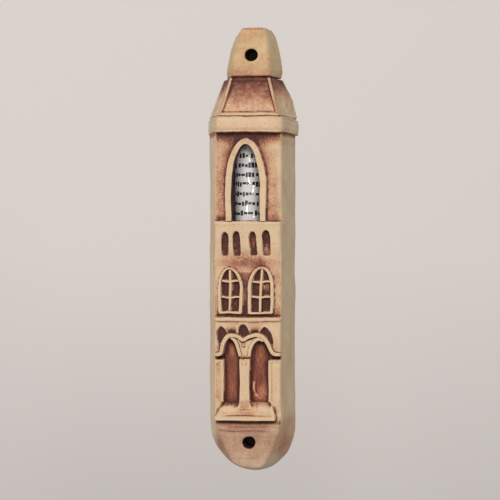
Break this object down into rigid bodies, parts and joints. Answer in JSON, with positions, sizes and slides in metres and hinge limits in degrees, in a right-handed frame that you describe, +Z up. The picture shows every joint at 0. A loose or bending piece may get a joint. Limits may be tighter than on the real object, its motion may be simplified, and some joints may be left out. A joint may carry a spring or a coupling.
{
  "type": "mezuzah case",
  "caption": "Tower-shaped ceramic wall case with an arched window, relief windows and doors, screw holes at both ends, and a removable scroll in a clear sleeve.",
  "frame": {"origin": "middle of the back, in the plane of the wall, halfway up the case", "axes": "+X to the right of somebody facing the case, +Y into the wall, +Z up the case towards its spire"},
  "size_m": [0.0386, 0.0216, 0.1851],
  "materials": {
    "raw_clay": "matt, with brown oxide left in the hollows",
    "pale_clay": "matt, wiped clean",
    "oxide_clay": "matt brown oxide",
    "clear_film": "clear and shiny",
    "scroll_paper": "smooth"
  },
  "bodies": {
    "case": {"tower_shell": "raw_clay", "roof_block": "raw_clay", "spire_block": "pale_clay", "cornice_band": "pale_clay", "roof_base_strip": "pale_clay", "left_roof_rib": "pale_clay", "right_roof_rib": "pale_clay", "scroll_window_frame": "pale_clay", "slit_window_panel": "pale_clay", "left_window_frame": "pale_clay", "right_window_frame": "pale_clay", "left_glazing_bars": "pale_clay", "right_glazing_bars": "pale_clay", "string_course": "pale_clay", "arcade_panel": "pale_clay", "arcade_hood_mould": "pale_clay", "left_door_arch": "pale_clay", "right_door_arch": "pale_clay", "spandrel": "pale_clay", "spandrel_bead": "pale_clay", "centre_column": "pale_clay", "left_pilaster": "pale_clay", "right_pilaster": "pale_clay", "left_door_leaf": "oxide_clay", "right_door_leaf": "oxide_clay", "doorstep": "pale_clay"},
    "sleeve": {"film_sleeve": "clear_film"},
    "scroll": {"scroll": "scroll_paper"}
  },
  "joints": [
    {"name": "roll_lift_out", "type": "slide", "parent": "case", "child": "sleeve", "axis": [0, 1, 0], "range_m": [0, 0.03]},
    {"name": "scroll_turn", "type": "hinge", "parent": "sleeve", "child": "scroll", "pos_m": [-0.0009, -0.0074, 0], "axis": [0, 0, 1], "continuous": true}
  ]
}
